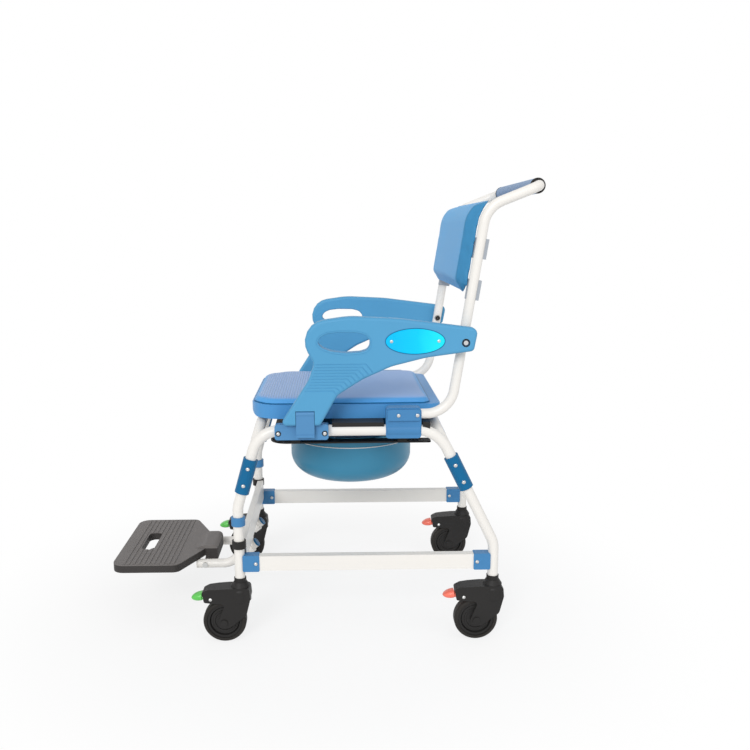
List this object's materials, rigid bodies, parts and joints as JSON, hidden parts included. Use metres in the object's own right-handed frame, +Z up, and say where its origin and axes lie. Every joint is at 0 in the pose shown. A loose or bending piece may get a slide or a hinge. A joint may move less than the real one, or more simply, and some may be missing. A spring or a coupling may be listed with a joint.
{
  "type": "shower commode chair",
  "caption": "Wheeled shower commode chair: bent tube frame, lift-off seat lid over a sliding bucket, flip-up armrests and footplate, push handle and braked casters.",
  "frame": {"origin": "middle of the chair's footprint box on the floor", "axes": "+Z up, the chair faces -Y, +X to the sitter's left"},
  "size_m": [0.569, 1, 1.0419],
  "materials": {
    "white_tube": "satin off-white coated aluminium",
    "blue_plastic": "moulded sleeve plastic",
    "pad_blue": "self-skinned foam, satin",
    "seat_blue": "moulded seat plastic",
    "violet_plastic": "moulded base plastic",
    "bucket_teal": "moulded bucket plastic",
    "cyan_plate": "bare oval plate",
    "grip_grey": "soft grip",
    "black_plastic": "moulded black plastic",
    "grey_clip": "moulded grey plastic",
    "steel": "plated bolts",
    "wheel_grey": "wheel centre",
    "tyre": "black rubber tread",
    "pedal_green": "brake pedal"
  },
  "bodies": {
    "frame": {"side_frame_left": "white_tube", "side_frame_right": "white_tube", "front_cross_tube": "white_tube", "rear_cross_tube": "white_tube", "front_leg_left": "white_tube", "front_leg_right": "white_tube", "rear_leg_left": "white_tube", "rear_leg_right": "white_tube", "side_rail_left": "white_tube", "side_rail_right": "white_tube", "front_crossbar": "white_tube", "footrest_arm_left": "white_tube", "footrest_arm_right": "white_tube", "back_frame": "white_tube", "front_sleeves": "blue_plastic", "rear_sleeves": "blue_plastic", "rail_end_caps": "blue_plastic", "leg_collars": "blue_plastic", "footrest_arm_plugs": "blue_plastic", "back_bracket_left": "blue_plastic", "back_bracket_right": "blue_plastic", "crossbar_clamps": "black_plastic", "seat_clips": "black_plastic", "bucket_guide": "black_plastic", "caster_stems": "black_plastic", "footplate_pin": "steel", "armrest_pivots": "steel", "frame_bolts": "steel", "handle_grip": "grip_grey", "backrest_pad": "pad_blue", "backrest_clips": "grey_clip", "armrest_base_left": "violet_plastic", "armrest_base_right": "violet_plastic", "seat_base": "seat_blue"},
    "footplate": {"footplate": "black_plastic"},
    "seat_lid": {"seat_lid": "seat_blue"},
    "bucket": {"bucket": "bucket_teal"},
    "armrest_left": {"armrest_left": "pad_blue", "armrest_plate_left": "cyan_plate"},
    "latch_left": {"armrest_latch_left": "violet_plastic"},
    "armrest_right": {"armrest_right": "pad_blue", "armrest_plate_right": "cyan_plate"},
    "latch_right": {"armrest_latch_right": "violet_plastic"},
    "front_left_swivel": {"front_left_fork": "black_plastic"},
    "front_left_wheel": {"front_left_wheel": "wheel_grey", "front_left_tyre": "tyre"},
    "front_left_pedal": {"front_left_pedal": "pedal_green"},
    "front_right_swivel": {"front_right_fork": "black_plastic"},
    "front_right_wheel": {"front_right_wheel": "wheel_grey", "front_right_tyre": "tyre"},
    "front_right_pedal": {"front_right_pedal": "pedal_green"},
    "rear_left_swivel": {"rear_left_fork": "black_plastic"},
    "rear_left_wheel": {"rear_left_wheel": "wheel_grey", "rear_left_tyre": "tyre"},
    "rear_left_pedal": {"rear_left_pedal": "pedal_green"},
    "rear_right_swivel": {"rear_right_fork": "black_plastic"},
    "rear_right_wheel": {"rear_right_wheel": "wheel_grey", "rear_right_tyre": "tyre"},
    "rear_right_pedal": {"rear_right_pedal": "pedal_green"}
  },
  "joints": [
    {"name": "footplate_flip", "type": "hinge", "parent": "frame", "child": "footplate", "pos_m": [0, -0.286, 0.121], "axis": [-1, 0, 0], "range_deg": [0, 90]},
    {"name": "seat_lid_lift", "type": "slide", "parent": "frame", "child": "seat_lid", "axis": [0, 0, 1], "range_m": [0, 0.12]},
    {"name": "bucket_slide", "type": "slide", "parent": "frame", "child": "bucket", "axis": [0, 1, 0], "range_m": [0, 0.38]},
    {"name": "armrest_left_flip", "type": "hinge", "parent": "frame", "child": "armrest_left", "pos_m": [0.2695, 0.32304, 0.6985], "axis": [-1, 0, 0], "range_deg": [0, 95]},
    {"name": "latch_left_swing", "type": "hinge", "parent": "armrest_left", "child": "latch_left", "pos_m": [0.278, -0.022, 0.546], "axis": [0, -1, 0], "range_deg": [0, 25]},
    {"name": "armrest_right_flip", "type": "hinge", "parent": "frame", "child": "armrest_right", "pos_m": [-0.2695, 0.32304, 0.6985], "axis": [-1, 0, 0], "range_deg": [0, 95]},
    {"name": "latch_right_swing", "type": "hinge", "parent": "armrest_right", "child": "latch_right", "pos_m": [-0.278, -0.022, 0.546], "axis": [0, 1, 0], "range_deg": [0, 25]},
    {"name": "front_left_swivel", "type": "hinge", "parent": "frame", "child": "front_left_swivel", "pos_m": [0.24, -0.18, 0.12], "axis": [0, 0, 1], "continuous": true},
    {"name": "front_left_spin", "type": "hinge", "parent": "front_left_swivel", "child": "front_left_wheel", "pos_m": [0.24, -0.218, 0.05], "axis": [1, 0, 0], "continuous": true},
    {"name": "front_left_brake", "type": "hinge", "parent": "front_left_swivel", "child": "front_left_pedal", "pos_m": [0.24, -0.248, 0.107], "axis": [1, 0, 0], "range_deg": [0, 12]},
    {"name": "front_right_swivel", "type": "hinge", "parent": "frame", "child": "front_right_swivel", "pos_m": [-0.24, -0.18, 0.12], "axis": [0, 0, 1], "continuous": true},
    {"name": "front_right_spin", "type": "hinge", "parent": "front_right_swivel", "child": "front_right_wheel", "pos_m": [-0.24, -0.218, 0.05], "axis": [1, 0, 0], "continuous": true},
    {"name": "front_right_brake", "type": "hinge", "parent": "front_right_swivel", "child": "front_right_pedal", "pos_m": [-0.24, -0.248, 0.107], "axis": [1, 0, 0], "range_deg": [0, 12]},
    {"name": "rear_left_swivel", "type": "hinge", "parent": "frame", "child": "rear_left_swivel", "pos_m": [0.24, 0.402, 0.12], "axis": [0, 0, 1], "continuous": true},
    {"name": "rear_left_spin", "type": "hinge", "parent": "rear_left_swivel", "child": "rear_left_wheel", "pos_m": [0.24, 0.364, 0.05], "axis": [1, 0, 0], "continuous": true},
    {"name": "rear_left_brake", "type": "hinge", "parent": "rear_left_swivel", "child": "rear_left_pedal", "pos_m": [0.24, 0.334, 0.107], "axis": [1, 0, 0], "range_deg": [0, 12]},
    {"name": "rear_right_swivel", "type": "hinge", "parent": "frame", "child": "rear_right_swivel", "pos_m": [-0.24, 0.402, 0.12], "axis": [0, 0, 1], "continuous": true},
    {"name": "rear_right_spin", "type": "hinge", "parent": "rear_right_swivel", "child": "rear_right_wheel", "pos_m": [-0.24, 0.364, 0.05], "axis": [1, 0, 0], "continuous": true},
    {"name": "rear_right_brake", "type": "hinge", "parent": "rear_right_swivel", "child": "rear_right_pedal", "pos_m": [-0.24, 0.334, 0.107], "axis": [1, 0, 0], "range_deg": [0, 12]}
  ]
}
